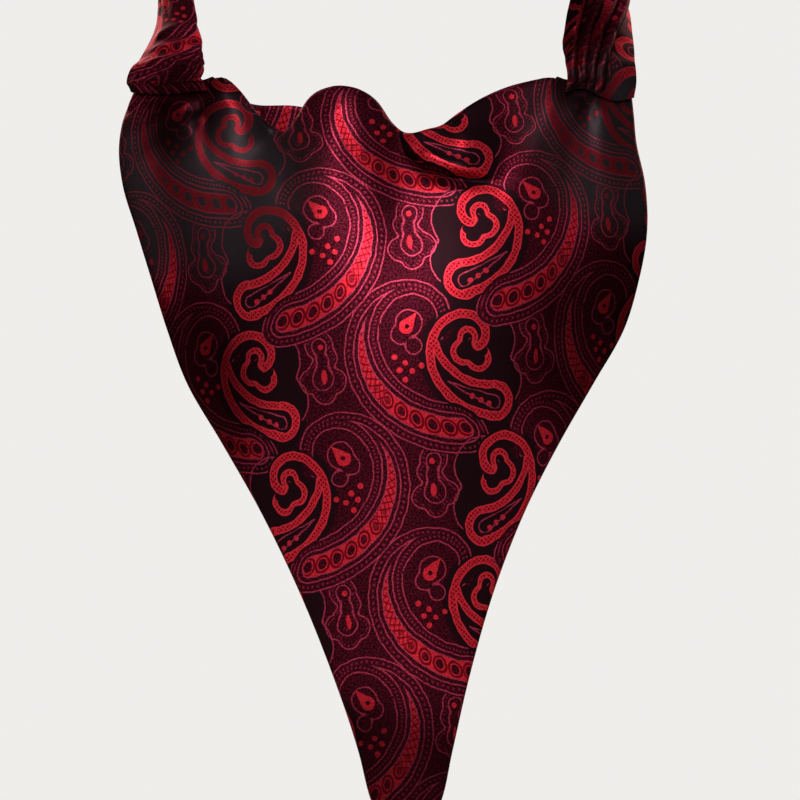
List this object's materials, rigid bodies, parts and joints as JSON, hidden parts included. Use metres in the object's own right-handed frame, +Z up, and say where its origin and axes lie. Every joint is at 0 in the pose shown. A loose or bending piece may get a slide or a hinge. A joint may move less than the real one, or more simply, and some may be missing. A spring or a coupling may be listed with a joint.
{
  "type": "silk cravat",
  "caption": "Tied day cravat of patterned silk in its hollow worn form: puffed front blade with rolled crest, under blade and pleated neckband round an open neck.",
  "frame": {"origin": "middle of the neck, at the height where the neckband leaves the sides of the neck", "axes": "+Z up along the neck, front faces -Y, +X to the right seen from the front"},
  "size_m": [0.1825, 0.1635, 0.356],
  "materials": {
    "silk_front": "jacquard silk, satin ground with a raised thread pattern",
    "silk_wrap": "jacquard silk, in the shade of the crest",
    "silk_back": "jacquard silk",
    "silk_band": "jacquard silk, pleated and pressed"
  },
  "bodies": {
    "root": {"front_blade": "silk_front", "throat_wrap": "silk_wrap", "under_blade": "silk_back", "neckband_left": "silk_band", "neckband_right": "silk_band"}
  },
  "joints": []
}
